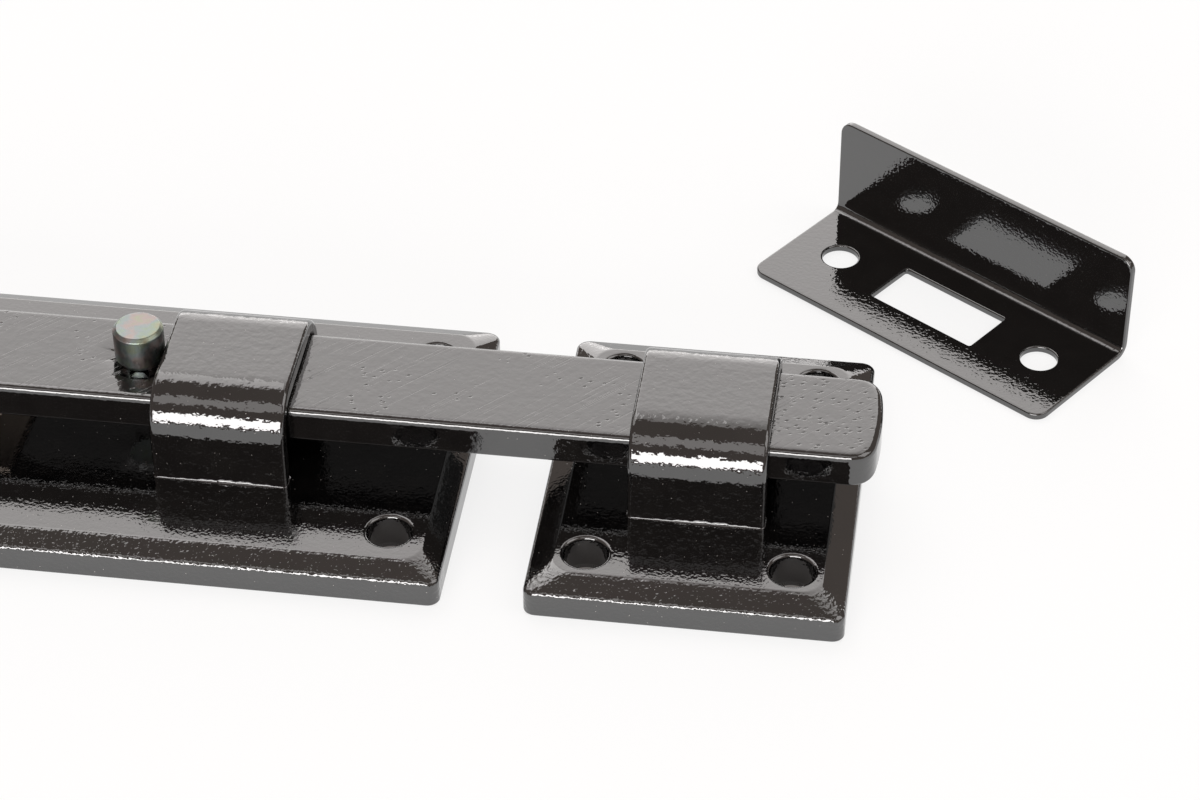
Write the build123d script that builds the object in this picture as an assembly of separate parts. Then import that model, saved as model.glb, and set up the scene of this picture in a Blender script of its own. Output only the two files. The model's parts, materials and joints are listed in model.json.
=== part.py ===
# A surface bolt for a pair of glazed doors: a flat bar slides through two strap loops on a
# bevelled main plate, and shoots through a third loop on a separate staple plate.
# A folded angle plate, slotted for the bar, is the other keep that goes with it.
# Millimetres. The origin is the centre of the main plate's back face, +X is the way the bar
# shoots, +Z points away from the door, and every plate lies on Z = 0. The bar is shot.
from build123d import *
import os
from math import acos, cos, degrees, pi, sin

# Plates
PLATE_LENGTH = 152.0
PLATE_DEPTH = 51.0
STAPLE_LENGTH = 40.0
STAPLE_GAP = 10.5
WALL_HEIGHT = 3.6
BEVEL_RISE = 1.4
MAIN_BEVEL = 2.8
STAPLE_BEVEL = 3.4
CORNER_RADIUS = 1.5
FIELD_CORNER_RADIUS = 2.6
FIELD_EDGE_SOFTNESS = 0.5
ARRIS = 0.3

# Screw holes in the two cast plates
SCREW_HOLE_RADIUS = 2.8
SCREW_RIM_RADIUS = 0.7
MAIN_SCREW_END_INSET = 7.4
MAIN_SCREW_SIDE_INSET = 7.8
STAPLE_SCREW_END_INSET = 7.1
STAPLE_SCREW_SIDE_INSET = 7.0
RIM_BANDS = 2

# Bar
BAR_WIDTH = 16.0
BAR_THICKNESS = 4.8
BAR_LIFT = 5.4
BAR_REACH = 52.8
BAR_LENGTH = 203.8
BAR_EDGE_RADIUS = 0.8
BAR_BACK_CHAMFER = 0.4
TIP_CORNER_RADIUS = 3.0
TIP_BULGE = 0.9
TAIL_CORNER_RADIUS = 2.0

# Strap loops, each with two tenons riveted through its plate
LOOP_WIDTH = 17.4
LOOP_THICKNESS = 2.5
LOOP_END_DISTANCE = 30.5
LOOP_SHOULDER_RADIUS = 6.3
LOOP_INNER_RADIUS = 2.0
LOOP_EDGE_CHAMFER = 0.35
LOOP_FOOT_RADIUS = 0.9
SLIDE_CLEARANCE = 0.2
SIDE_CLEARANCE = 0.8
TENON_WIDTH = 10.0
TENON_FLARE = 1.0
TENON_RECESS = 0.15
TENON_FIT = 0.04

# Stop pin, riveted flush through the bar
PIN_RADIUS = 3.25
PIN_HEIGHT = 5.2
PIN_CHAMFER = 0.45
PIN_NECK_RADIUS = 2.8
PIN_NECK_HEIGHT = 0.7
PIN_SHANK_RADIUS = 1.9
PIN_FLARE = 1.0
STOP_GAP = 0.15
SHANK_FIT = 0.03
RIVET_RECESS = 0.15

# Leaf spring under the bar, riveted to the main plate between its loops
SPRING_THICKNESS = 0.7
SPRING_WIDTH = 14.0
SPRING_SETBACK = 9.0
SPRING_SEAT = 8.0
SPRING_BOW_RADIUS = 45.0
SPRING_TOE_RADIUS = 3.0
SPRING_TOE_ANGLE = 15.0
SPRING_GAP = 0.1
SPRING_RIVET_RADIUS = 1.5
SPRING_RIVET_HEAD_RADIUS = 2.6
SPRING_RIVET_HEAD_HEIGHT = 1.1
SPRING_RIVET_FLARE = 0.8

# Pull knob, riveted through the tail of the bar
KNOB_RADIUS = 8.5
KNOB_DOME_HEIGHT = 7.0
KNOB_NECK_RADIUS = 3.6
KNOB_NECK_HEIGHT = 4.5
KNOB_FOOT_RADIUS = 5.6
KNOB_FOOT_HEIGHT = 1.6
KNOB_RIM_HEIGHT = 2.0
KNOB_SHANK_RADIUS = 2.4
KNOB_RIVET_RADIUS = 3.6
KNOB_RIVET_HEIGHT = 1.0
KNOB_LOOP_GAP = 3.0
KNOB_TAIL_INSET = 9.3
DOME_BANDS = 3

# Folded angle plate and where it lies
ANGLE_LENGTH = 49.5
ANGLE_DEPTH = 20.0
ANGLE_HEIGHT = 16.0
ANGLE_THICKNESS = 1.0
ANGLE_BEND_RADIUS = 1.0
ANGLE_CORNER_RADIUS = 2.0
SLOT_SIDE_CLEARANCE = 0.5
SLOT_FACE_CLEARANCE = 1.6
SLOT_CORNER_RADIUS = 0.3
ANGLE_HOLE_RADIUS = 2.5
ANGLE_HOLE_SPACING = 34.3
ANGLE_HOLE_INSET = 10.3
ANGLE_PLACE_X = 52.1
ANGLE_PLACE_Y = 33.8
ANGLE_TURN = -34.2

# Levels and places that follow from the sizes above
FIELD_HEIGHT = WALL_HEIGHT + BEVEL_RISE
BAR_BOTTOM = FIELD_HEIGHT + BAR_LIFT
BAR_TOP = BAR_BOTTOM + BAR_THICKNESS
LOOP_HALF_OPENING = BAR_WIDTH / 2 + SIDE_CLEARANCE
LOOP_INNER_TOP = BAR_TOP + SLIDE_CLEARANCE
LOOP_TOP = LOOP_INNER_TOP + LOOP_THICKNESS
LEG_MIDDLE = LOOP_HALF_OPENING + LOOP_THICKNESS / 2
PLATE_END = PLATE_LENGTH / 2
FRONT_LOOP_X = PLATE_END - LOOP_END_DISTANCE
STAPLE_X = PLATE_END + STAPLE_GAP + STAPLE_LENGTH / 2
TIP_X = PLATE_END + BAR_REACH
TAIL_X = TIP_X - BAR_LENGTH
KNOB_X = TAIL_X + KNOB_TAIL_INSET
REAR_LOOP_X = KNOB_X + KNOB_RADIUS + KNOB_LOOP_GAP + LOOP_WIDTH / 2
PIN_X = FRONT_LOOP_X - LOOP_WIDTH / 2 - STOP_GAP - PIN_RADIUS
SPRING_X = (REAR_LOOP_X + FRONT_LOOP_X) / 2 - SPRING_SETBACK
TRAVEL = PIN_X - PIN_RADIUS - STOP_GAP - REAR_LOOP_X - LOOP_WIDTH / 2


def turned(points):
    """A solid of revolution about Z from the outline points (radius, height), closed on the axis."""
    with BuildPart() as solid:
        with BuildSketch(Plane.XZ):
            with BuildLine():
                Polyline(*points, close=True)
            make_face()
        revolve(axis=Axis.Z)
    return solid.part


def rivet_hole(shank, flare, bottom, top):
    """The cutter for a rivet whose end is hammered flush into a countersink on the lower face."""
    return turned([(0, top + flare), (0, bottom - flare), (shank + flare + SHANK_FIT, bottom - flare),
                   (shank + flare + SHANK_FIT, bottom), (shank + SHANK_FIT, bottom + flare),
                   (shank + SHANK_FIT, top + flare)])


def rivet_end(shank, flare, bottom):
    """The outline of such a rivet's end, from its shank to the axis."""
    return [(shank, bottom + flare), (shank + flare - RIVET_RECESS, bottom + RIVET_RECESS), (0, bottom + RIVET_RECESS)]


def tenon(grow):
    """One riveted tenon of a strap leg, centred on the leg and standing on the plate's back face."""
    width = TENON_WIDTH + 2 * grow
    thickness = LOOP_THICKNESS + 2 * grow
    shank = extrude(Rectangle(width, thickness), FIELD_HEIGHT)
    mouth = Rectangle(width + 2 * TENON_FLARE, thickness + 2 * TENON_FLARE)
    throat = Pos(0, 0, TENON_FLARE) * Rectangle(width, thickness)
    return shank + loft([mouth, throat], ruled=True)


def tenon_places(x):
    return [Pos(x, side * LEG_MIDDLE, 0) for side in (-1, 1)]


def plate_section(length, inset, bevel):
    """A plate's outline drawn in by an inset, with corners that grow rounder towards the field."""
    rounding = CORNER_RADIUS + (FIELD_CORNER_RADIUS - CORNER_RADIUS) * inset / bevel
    return RectangleRounded(length - 2 * inset, PLATE_DEPTH - 2 * inset, rounding)


def bevelled_plate(length, bevel, end_inset, side_inset, loop_places):
    """A cast plate with a bevelled rim, four screw holes and a pair of tenon slots for each loop."""
    slope = BEVEL_RISE / bevel
    rim = [
        (0, 0),
        (0, WALL_HEIGHT - ARRIS),
        (ARRIS, WALL_HEIGHT + ARRIS * slope),
        (bevel - FIELD_EDGE_SOFTNESS, FIELD_HEIGHT - FIELD_EDGE_SOFTNESS * slope),
        (bevel + FIELD_EDGE_SOFTNESS, FIELD_HEIGHT),
    ]
    plate = loft([Pos(0, 0, level) * plate_section(length, inset, bevel) for inset, level in rim], ruled=True)
    for place in GridLocations(length - 2 * end_inset, PLATE_DEPTH - 2 * side_inset, 2, 2):
        plate -= place * screw_hole()
    for x in loop_places:
        for place in tenon_places(x):
            plate -= place * tenon(TENON_FIT)
    return plate


def screw_hole():
    """The cutter for a screw hole whose upper rim is rounded over, as the coating leaves it."""
    mouth = SCREW_HOLE_RADIUS + SCREW_RIM_RADIUS
    turns = [pi / 2 * step / RIM_BANDS for step in range(RIM_BANDS + 1)]
    rim = [(mouth - SCREW_RIM_RADIUS * cos(turn), FIELD_HEIGHT - SCREW_RIM_RADIUS * (1 - sin(turn)))
           for turn in turns]
    above = FIELD_HEIGHT + SCREW_RIM_RADIUS
    return turned([(0, above), (0, -SCREW_RIM_RADIUS), (SCREW_HOLE_RADIUS, -SCREW_RIM_RADIUS), *rim,
                   (mouth, above)])


def main_plate():
    """The long plate that carries the bar in two loops, with the hole for the spring's rivet."""
    plate = bevelled_plate(PLATE_LENGTH, MAIN_BEVEL, MAIN_SCREW_END_INSET, MAIN_SCREW_SIDE_INSET,
                           (REAR_LOOP_X, FRONT_LOOP_X))
    return plate - Pos(SPRING_X, 0, 0) * rivet_hole(SPRING_RIVET_RADIUS, SPRING_RIVET_FLARE, 0, FIELD_HEIGHT)


def staple_plate():
    """The short plate whose loop receives the bar."""
    plate = bevelled_plate(STAPLE_LENGTH, STAPLE_BEVEL, STAPLE_SCREW_END_INSET, STAPLE_SCREW_SIDE_INSET, (0,))
    return Pos(STAPLE_X, 0, 0) * plate


def strap_loop(x):
    """A strap bent over the bar, standing on a plate's field on two riveted tenons."""
    height = LOOP_TOP - FIELD_HEIGHT
    half = LOOP_HALF_OPENING + LOOP_THICKNESS
    opening = LOOP_INNER_TOP - FIELD_HEIGHT
    outer = Plane.YZ * Pos(0, FIELD_HEIGHT + height / 2) * Rectangle(2 * half, height)
    outer = fillet(outer.vertices().group_by(Axis.Z)[-1], LOOP_SHOULDER_RADIUS)
    inner = Plane.YZ * Pos(0, FIELD_HEIGHT + opening / 2) * Rectangle(2 * LOOP_HALF_OPENING, opening)
    inner = fillet(inner.vertices().group_by(Axis.Z)[-1], LOOP_INNER_RADIUS)
    strap = extrude(outer - inner, LOOP_WIDTH / 2, both=True)
    feet = strap.edges().filter_by(Axis.Y).group_by(Axis.Z)[0]
    strap = fillet(feet, LOOP_FOOT_RADIUS)
    rims = [edge for edge in strap.edges() if abs(abs(edge.center().X) - LOOP_WIDTH / 2) < 0.01
            and edge.center().Z > FIELD_HEIGHT + LOOP_FOOT_RADIUS / 2]
    strap = chamfer(rims, LOOP_EDGE_CHAMFER)
    for place in tenon_places(0):
        strap += place * tenon(0) - Box(4 * half, 4 * half, 2 * TENON_RECESS)
    return Pos(x, 0, 0) * strap


def slide_bar():
    """The flat bar, square at its tail and softened to a bulged nose at its tip."""
    half = BAR_WIDTH / 2
    with BuildPart() as bar:
        with BuildSketch(Plane.XY.offset(BAR_BOTTOM)) as plan:
            with BuildLine():
                Polyline((TIP_X - TIP_BULGE, -half), (TAIL_X, -half), (TAIL_X, half), (TIP_X - TIP_BULGE, half))
                ThreePointArc((TIP_X - TIP_BULGE, half), (TIP_X, 0), (TIP_X - TIP_BULGE, -half))
            make_face()
            fillet(plan.vertices().group_by(Axis.X)[-1], TIP_CORNER_RADIUS)
            fillet(plan.vertices().group_by(Axis.X)[0], TAIL_CORNER_RADIUS)
        extrude(amount=BAR_THICKNESS)
        fillet(bar.faces().sort_by(Axis.Z)[-1].edges(), BAR_EDGE_RADIUS)
        chamfer(bar.faces().sort_by(Axis.Z)[0].edges(), BAR_BACK_CHAMFER)
    body = bar.part - Pos(PIN_X, 0, 0) * rivet_hole(PIN_SHANK_RADIUS, PIN_FLARE, BAR_BOTTOM, BAR_TOP)
    middle = BAR_BOTTOM + BAR_THICKNESS / 2
    return body - Pos(KNOB_X, 0, middle) * Cylinder(KNOB_SHANK_RADIUS + SHANK_FIT, 2 * BAR_THICKNESS)


def stop_pin():
    """The plated stop pin: a necked head on the bar and a shank riveted flush under it."""
    head = BAR_TOP + PIN_HEIGHT
    neck = BAR_TOP + PIN_NECK_HEIGHT
    pin = turned([
        (0, head), (PIN_RADIUS - PIN_CHAMFER, head), (PIN_RADIUS, head - PIN_CHAMFER),
        (PIN_RADIUS, neck), (PIN_NECK_RADIUS, neck), (PIN_NECK_RADIUS, BAR_TOP),
        (PIN_SHANK_RADIUS, BAR_TOP), *rivet_end(PIN_SHANK_RADIUS, PIN_FLARE, BAR_BOTTOM),
    ])
    return Pos(PIN_X, 0, 0) * pin


def leaf_spring():
    """A bowed strip seated on the plate's field, whose downturned toes bear on the bar's underside."""
    half = SPRING_THICKNESS / 2
    climb = BAR_BOTTOM - SPRING_THICKNESS - FIELD_HEIGHT - SPRING_GAP
    turn = degrees(acos(1 - climb / (SPRING_BOW_RADIUS + SPRING_TOE_RADIUS)))
    seat = SPRING_SEAT / 2
    level = FIELD_HEIGHT + half
    with BuildPart() as spring:
        with BuildSketch(Plane.XZ):
            with BuildLine() as path:
                Line((-seat, level), (seat, level))
                for side in (-1, 1):
                    wing = JernArc((side * seat, level), (side, 0), SPRING_BOW_RADIUS, side * turn)
                    JernArc(wing @ 1, wing % 1, SPRING_TOE_RADIUS, -side * (turn + SPRING_TOE_ANGLE))
            trace(path.edges(), line_width=SPRING_THICKNESS)
        extrude(amount=SPRING_WIDTH / 2, both=True)
    strip = spring.part
    strip -= Pos(0, 0, level) * Cylinder(SPRING_RIVET_RADIUS + SHANK_FIT, 4 * SPRING_THICKNESS)
    return Pos(SPRING_X, 0, 0) * strip


def spring_rivet():
    """The round-headed rivet that holds the spring's seat down, hammered flush at the plate's back."""
    seat = FIELD_HEIGHT + SPRING_THICKNESS
    turns = [pi / 2 * step / DOME_BANDS for step in range(1, DOME_BANDS + 1)]
    dome = [(SPRING_RIVET_HEAD_RADIUS * sin(turn), seat + SPRING_RIVET_HEAD_HEIGHT * cos(turn)) for turn in turns]
    rivet = turned([(0, seat + SPRING_RIVET_HEAD_HEIGHT), *dome, (SPRING_RIVET_RADIUS, seat),
                    *rivet_end(SPRING_RIVET_RADIUS, SPRING_RIVET_FLARE, 0)])
    return Pos(SPRING_X, 0, 0) * rivet


def pull_knob():
    """A turned knob with a domed head, its shank riveted over under the tail of the bar."""
    foot = BAR_TOP + KNOB_FOOT_HEIGHT
    waist = foot + KNOB_NECK_HEIGHT
    brim = waist + KNOB_RIM_HEIGHT
    clinch = BAR_BOTTOM - KNOB_RIVET_HEIGHT
    turns = [pi / 2 * step / DOME_BANDS for step in range(DOME_BANDS + 1)]
    dome = [(KNOB_RADIUS * cos(turn), brim + KNOB_DOME_HEIGHT * sin(turn)) for turn in turns]
    knob = turned([
        (0, clinch), (KNOB_SHANK_RADIUS, clinch), (KNOB_RIVET_RADIUS, BAR_BOTTOM),
        (KNOB_SHANK_RADIUS, BAR_BOTTOM), (KNOB_SHANK_RADIUS, BAR_TOP), (KNOB_FOOT_RADIUS, BAR_TOP),
        (KNOB_FOOT_RADIUS, foot), (KNOB_NECK_RADIUS, foot), (KNOB_NECK_RADIUS, waist),
        (KNOB_RADIUS - KNOB_RIM_HEIGHT, waist), *dome[:-1], (0, brim + KNOB_DOME_HEIGHT),
    ])
    return Pos(KNOB_X, 0, 0) * knob


def angle_plate():
    """A sheet folded to an angle: the flat leg is slotted for the bar and drilled for two screws."""
    outside = ANGLE_BEND_RADIUS + ANGLE_THICKNESS
    half = ANGLE_LENGTH / 2
    with BuildPart() as angle:
        with BuildSketch(Plane.YZ) as section:
            with BuildLine():
                Polyline((0, 0), (ANGLE_DEPTH, 0), (ANGLE_DEPTH, ANGLE_HEIGHT),
                         (ANGLE_DEPTH - ANGLE_THICKNESS, ANGLE_HEIGHT),
                         (ANGLE_DEPTH - ANGLE_THICKNESS, ANGLE_THICKNESS), (0, ANGLE_THICKNESS), close=True)
            make_face()
            fillet(section.vertices().sort_by_distance((ANGLE_DEPTH, 0, 0))[0], outside)
            fillet(section.vertices().sort_by_distance((ANGLE_DEPTH - ANGLE_THICKNESS, ANGLE_THICKNESS, 0))[0],
                   ANGLE_BEND_RADIUS)
        extrude(amount=half, both=True)
        upright = angle.edges().filter_by(Axis.Z).filter_by(lambda edge: edge.center().Y < ANGLE_THICKNESS)
        crosswise = angle.edges().filter_by(Axis.Y).group_by(Axis.Z)[-1]
        fillet(list(upright) + list(crosswise), ANGLE_CORNER_RADIUS)
    sheet = angle.part
    slot = extrude(RectangleRounded(BAR_WIDTH + 2 * SLOT_SIDE_CLEARANCE, BAR_THICKNESS + 2 * SLOT_FACE_CLEARANCE,
                                    SLOT_CORNER_RADIUS), 2 * ANGLE_THICKNESS, both=True)
    sheet -= Pos(0, ANGLE_HOLE_INSET, 0) * slot
    for place in GridLocations(ANGLE_HOLE_SPACING, 1, 2, 1):
        sheet -= Pos(0, ANGLE_HOLE_INSET, 0) * place * Cylinder(ANGLE_HOLE_RADIUS, 4 * ANGLE_THICKNESS)
    return Pos(PLATE_END + ANGLE_PLACE_X, ANGLE_PLACE_Y, 0) * Rot(0, 0, ANGLE_TURN) * sheet


PIECES = {
    "main_plate": main_plate(),
    "front_loop": strap_loop(FRONT_LOOP_X),
    "rear_loop": strap_loop(REAR_LOOP_X),
    "staple_plate": staple_plate(),
    "staple_loop": strap_loop(STAPLE_X),
    "slide_bar": slide_bar(),
    "stop_pin": stop_pin(),
    "leaf_spring": leaf_spring(),
    "spring_rivet": spring_rivet(),
    "pull_knob": pull_knob(),
    "angle_plate": angle_plate(),
}

os.makedirs("parts", exist_ok=True)
for name, piece in PIECES.items():
    export_step(piece, f"parts/{name}.step")
print("travel of the bar", round(TRAVEL, 3))
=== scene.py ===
# %% [markdown]
# # A black bolt for a pair of glazed doors
# The bolt's solids come packed from its own CAD model, in metres, with the middle of the main
# plate's back at the origin. This lesson leaves them where they are and dresses them: each
# solid gets a finer surface of the same size, with the soft edges that a thick gloss coat
# leaves, and a finish built from nodes.

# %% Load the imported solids
import json
import bpy
import numpy as np
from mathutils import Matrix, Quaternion, Vector
from mathutils.geometry import delaunay_2d_cdt

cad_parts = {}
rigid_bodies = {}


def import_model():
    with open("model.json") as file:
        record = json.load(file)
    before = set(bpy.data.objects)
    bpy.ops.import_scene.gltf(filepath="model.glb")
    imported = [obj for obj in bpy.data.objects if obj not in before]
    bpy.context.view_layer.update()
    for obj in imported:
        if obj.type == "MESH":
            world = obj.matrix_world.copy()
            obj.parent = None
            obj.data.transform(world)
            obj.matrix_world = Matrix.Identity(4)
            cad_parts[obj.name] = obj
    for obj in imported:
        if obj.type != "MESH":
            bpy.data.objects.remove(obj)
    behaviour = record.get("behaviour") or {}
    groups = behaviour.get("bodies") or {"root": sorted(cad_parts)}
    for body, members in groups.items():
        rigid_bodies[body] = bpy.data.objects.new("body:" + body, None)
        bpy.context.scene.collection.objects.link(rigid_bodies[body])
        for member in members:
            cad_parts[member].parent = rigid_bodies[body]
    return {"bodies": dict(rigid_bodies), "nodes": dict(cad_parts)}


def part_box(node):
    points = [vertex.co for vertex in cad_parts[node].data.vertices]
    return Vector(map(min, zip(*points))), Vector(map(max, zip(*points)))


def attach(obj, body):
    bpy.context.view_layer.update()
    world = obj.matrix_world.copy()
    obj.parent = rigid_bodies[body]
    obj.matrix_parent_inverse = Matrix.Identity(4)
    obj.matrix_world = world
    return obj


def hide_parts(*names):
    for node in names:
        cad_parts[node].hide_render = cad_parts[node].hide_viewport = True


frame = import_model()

MM = 0.001
own = set(frame["nodes"].values()) | set(frame["bodies"].values())
for leftover in [thing for thing in bpy.data.objects if thing not in own]:
    bpy.data.objects.remove(leftover)
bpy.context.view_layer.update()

# %% [markdown]
# The camera stands in front of the bolt and looks down on it at about 39 degrees, with a
# long lens, so that the edges of the plates stay almost parallel. Its place was worked out
# from the straight edges of the plates and the bar in the photograph.

# %% Camera
CAMERA_PLACE = Vector((140.64, -342.46, 297.36))
CAMERA_AIM = Vector((-0.10681, 0.76652, -0.63327))
CAMERA_LEAN = np.radians(-0.33)
SENSOR, LENS = 36, 105.69
camera = bpy.data.objects.new("camera", bpy.data.cameras.new("camera"))
bpy.context.scene.collection.objects.link(camera)
bpy.context.scene.camera = camera
camera.location = CAMERA_PLACE * MM
camera.rotation_mode = "QUATERNION"
camera.rotation_quaternion = CAMERA_AIM.to_track_quat("-Z", "Y") @ Quaternion((0, 0, 1), CAMERA_LEAN)
camera.data.sensor_width = SENSOR
camera.data.lens = LENS
camera.data.clip_start = 0.01
camera.data.clip_end = 20
bpy.context.scene.view_settings.view_transform = "Standard"
print("camera at", [round(value, 3) for value in camera.location])

# %% [markdown]
# Shader maths reads best as plain expressions. The class below wraps one socket of a node
# tree: adding or multiplying two wrapped sockets adds a Math node, and `node` makes any
# other node from its type, its settings and the values or links of its sockets. A wrapped
# place can be split into its coordinates, or read by a texture.

# %% Sockets as values
# A leaning texture's size along Z in metres, so large that it doesn't change with height
NO_CHANGE = 1000


class Socket:
    """One output socket; operators on it add Math nodes to its tree."""

    def __init__(self, tree, output):
        self.tree = tree
        self.output = output

    def node(self, kind, settings=None, inputs=None, output=0):
        """A new node of this kind: its settings first, then its inputs; gives one of its outputs."""
        made = self.tree.nodes.new(kind)
        for name, value in (settings or {}).items():
            if name == "stops":
                for place, (position, colour) in enumerate(value):
                    while len(made.color_ramp.elements) <= place:
                        made.color_ramp.elements.new(position)
                    made.color_ramp.elements[place].position = position
                    made.color_ramp.elements[place].color = colour
            else:
                setattr(made, name, value)
        for name, value in (inputs or {}).items():
            if isinstance(value, Socket):
                self.tree.links.new(value.output, made.inputs[name])
            else:
                made.inputs[name].default_value = value
        return Socket(self.tree, made.outputs[output])

    def math(self, operation, first, second):
        return self.node("ShaderNodeMath", {"operation": operation}, {0: first, 1: second})

    def __add__(self, other):
        return self.math("ADD", self, other)

    def __sub__(self, other):
        return self.math("SUBTRACT", self, other)

    def __mul__(self, other):
        return self.math("MULTIPLY", self, other)

    def __radd__(self, other):
        return self.math("ADD", other, self)

    def __rsub__(self, other):
        return self.math("SUBTRACT", other, self)

    def __rmul__(self, other):
        return self.math("MULTIPLY", other, self)

    def rises(self, low, high):
        """0 below low, 1 above high, and a smooth step between them."""
        return self.node("ShaderNodeMapRange", {"interpolation_type": "SMOOTHSTEP"},
                         {"Value": self, "From Min": low, "From Max": high})

    def blend(self, first, second):
        """A colour that goes from the first to the second as this value goes from 0 to 1."""
        return self.node("ShaderNodeMix", {"data_type": "RGBA"}, {0: self, 6: first, 7: second}, 2)

    def split(self):
        """The X, Y and Z of this place."""
        parts = self.node("ShaderNodeSeparateXYZ", inputs={"Vector": self})
        return [Socket(self.tree, output) for output in parts.output.node.outputs]

    def noise(self, waves, detail=1.0):
        """Cloudy noise at this place, with so many waves to the metre."""
        return self.node("ShaderNodeTexNoise", inputs={"Vector": self, "Scale": waves, "Detail": detail})

    def cells(self, count):
        """Voronoi cells: how far off the nearest one's middle is, and that cell's random number."""
        inputs = {"Vector": self, "Scale": count}
        distance = self.node("ShaderNodeTexVoronoi", inputs=inputs)
        draw = self.node("ShaderNodeTexVoronoi", inputs=inputs, output=1)
        return distance, draw.node("ShaderNodeSeparateColor", inputs={"Color": draw})

    def leaning(self, turn, along, across):
        """This place as seen by a texture that is turned about Z, has so many waves to the metre
        along and across, and doesn't change with height."""
        return self.node("ShaderNodeMapping", {"vector_type": "TEXTURE"}, {
            "Vector": self, "Rotation": (0, 0, turn), "Scale": (1 / along, 1 / across, NO_CHANGE)})

    def bump(self, height):
        """A normal for a height in millimetres."""
        return self.node("ShaderNodeBump", inputs={"Height": height, "Distance": MM, "Strength": 1.0})


def start_finish(name):
    """An empty finish: its material, its shader and the object's own coordinates in metres."""
    material = bpy.data.materials.new(name)
    material.use_nodes = True
    tree = material.node_tree
    shader = tree.nodes["Principled BSDF"]
    place = tree.nodes.new("ShaderNodeTexCoord")
    return material, shader, Socket(tree, place.outputs["Object"])


def set_shader(shader, **values):
    """Puts plain values or wrapped sockets on the shader; an underscore stands for a space."""
    for name, value in values.items():
        socket = shader.inputs[name.replace("_", " ")]
        if isinstance(value, Socket):
            value.tree.links.new(value.output, socket)
        else:
            socket.default_value = value


print("sockets add, subtract, multiply, blend and read textures")

# %% [markdown]
# The bolt lies on a white table in soft light. A wide panel behind it is what the upward
# faces mirror, and a low one below that brightens the back bevels. A bright strip in front
# draws the white lines along the rounded edges. Two side panels keep the table evenly white,
# and overhead it is darker. Most of the table's face shows plain white to the camera and in
# the gloss; the rest is matt and keeps the shadows. Under the plates the whole face is matt,
# so that the screw holes stay dark.

# %% Table
TABLE_HALF = 8
TABLE_WHITE = (0.95, 0.95, 0.95, 1)
TABLE_GLOW = 0.8
table_corners = [(x * TABLE_HALF, y * TABLE_HALF, 0) for x, y in ((-1, -1), (1, -1), (1, 1), (-1, 1))]
floor_mesh = bpy.data.meshes.new("floor")
floor_mesh.from_pydata(table_corners, [], [(0, 1, 2, 3)])
floor = bpy.data.objects.new("floor", floor_mesh)
bpy.context.scene.collection.objects.link(floor)

white_table, table_shader, table_place = start_finish("white_table")
set_shader(table_shader, Base_Color=TABLE_WHITE, Roughness=0.9, Specular_IOR_Level=0.0)
camera_ray = table_place.node("ShaderNodeLightPath", output=0)
glossy_ray = camera_ray.node("ShaderNodeLightPath", output=3)
clear_ray = camera_ray.node("ShaderNodeLightPath", output=6)
seen = camera_ray.math("MAXIMUM", camera_ray, glossy_ray.math("MAXIMUM", glossy_ray, clear_ray))
plain_white = seen.node("ShaderNodeEmission", inputs={"Color": (1, 1, 1, 1), "Strength": 1.0})
bare = 1.0
for node in ("main_plate", "staple_plate"):
    low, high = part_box(node)
    east, north, unused = table_place.split()
    under = east.rises(low[0], low[0] + MM) * (1 - east.rises(high[0] - MM, high[0]))
    under = under * north.rises(low[1], low[1] + MM) * (1 - north.rises(high[1] - MM, high[1]))
    bare = bare * (1 - under)
table_tree = white_table.node_tree
matt = Socket(table_tree, table_shader.outputs[0])
table_face = seen.node("ShaderNodeMixShader", inputs={0: seen * bare * TABLE_GLOW, 1: matt, 2: plain_white})
table_tree.links.new(table_face.output, table_tree.nodes["Material Output"].inputs["Surface"])
floor_mesh.materials.append(white_table)
print("table glow", TABLE_GLOW)

# %% Room and light panels
ROOM_GREY = (0.31, 0.265, 0.24, 1)
PANEL_TINT = (1.01, 0.99, 0.985)
PANEL_AIM = Vector((0.09, 0, 0))
# Each panel's heading and elevation in degrees, its distance, width and height in metres, and
# how bright it is at its lower edge, with the share of that at its upper edge where it fades
PANELS = {
    "back_panel": (186, 42, 1.2, 1.15, 1.7, 2.65, 0.22),
    "low_back_panel": (186, 4, 1.3, 2.4, 0.17, 2.4),
    "front_strip": (-8, 15, 1.0, 0.8, 0.36, 8.5),
    "high_panel": (-8, 55, 1.3, 1.4, 0.42, 0.95),
    "right_panel": (85, 45, 1.3, 0.9, 0.9, 1.5),
    "left_panel": (232, 53, 1.3, 0.8, 0.8, 1.2),
}
world = bpy.data.worlds.new("studio")
bpy.context.scene.world = world
world.use_nodes = True
world.node_tree.nodes["Background"].inputs["Color"].default_value = ROOM_GREY
print("room", ROOM_GREY[:3])


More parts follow.
